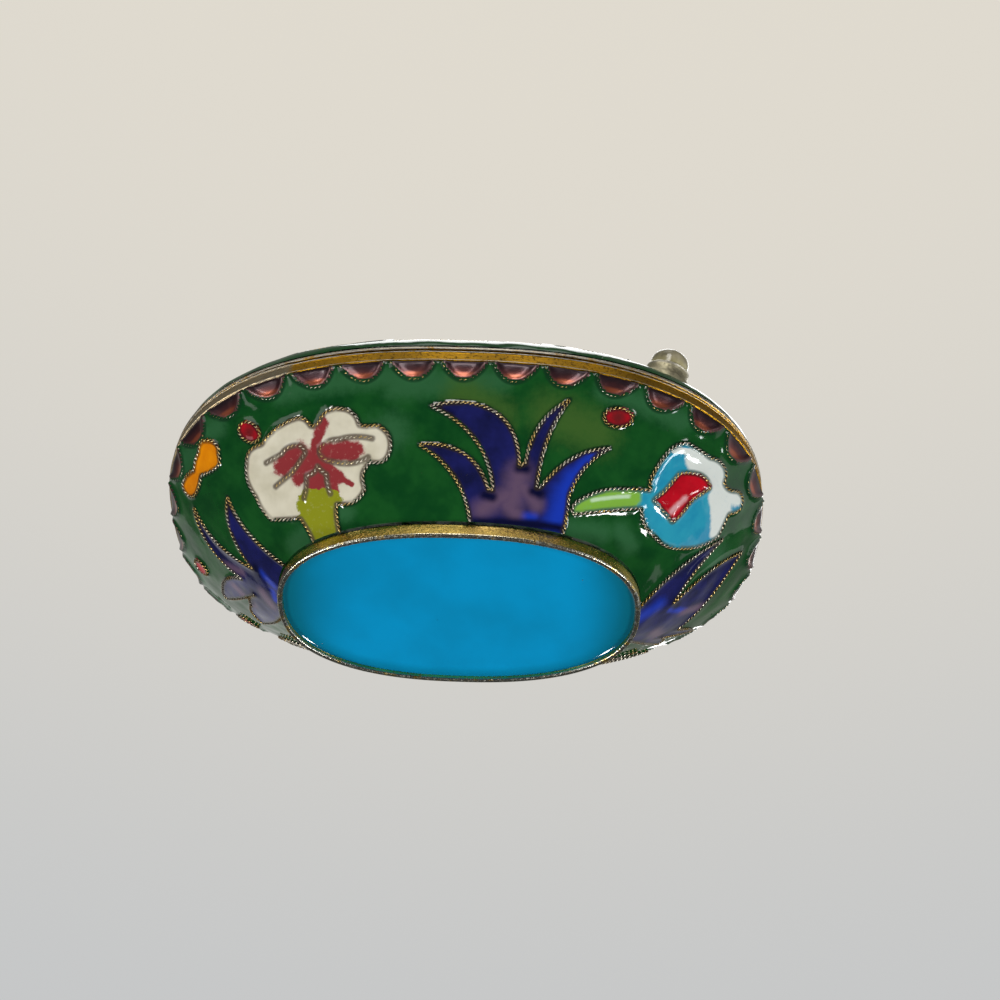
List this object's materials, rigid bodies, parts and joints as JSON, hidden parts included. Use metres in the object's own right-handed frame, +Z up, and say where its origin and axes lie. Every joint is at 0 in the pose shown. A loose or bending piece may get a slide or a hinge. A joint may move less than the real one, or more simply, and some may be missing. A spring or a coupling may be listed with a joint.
{
  "type": "cloisonne enamel box",
  "caption": "Small oval box in cloisonne enamel: flaring hollow bowl on a low foot strip, gilt bands at the mouth, and a domed lid that lifts off, with a cabochon on its shoulder.",
  "frame": {"origin": "on the ground under the middle of the box", "axes": "+X along the long side, -Y towards the front with the tall plant, +Z up through the lid"},
  "size_m": [0.0706, 0.0476, 0.0264],
  "materials": {
    "green_enamel": "glossy fired enamel with coloured cells between twisted gilt wires",
    "sky_blue_enamel": "glossy opaque enamel",
    "gilt_brass": "worn gilding with silvery wear on the edges and dark specks",
    "amber_stone": "polished cloudy cabochon"
  },
  "bodies": {
    "root": {"bowl": "green_enamel", "foot_ring": "gilt_brass", "base_panel": "sky_blue_enamel", "mouth_band": "gilt_brass", "lid_band": "gilt_brass", "lid": "green_enamel", "stone_setting": "gilt_brass", "stone": "amber_stone"}
  },
  "joints": []
}
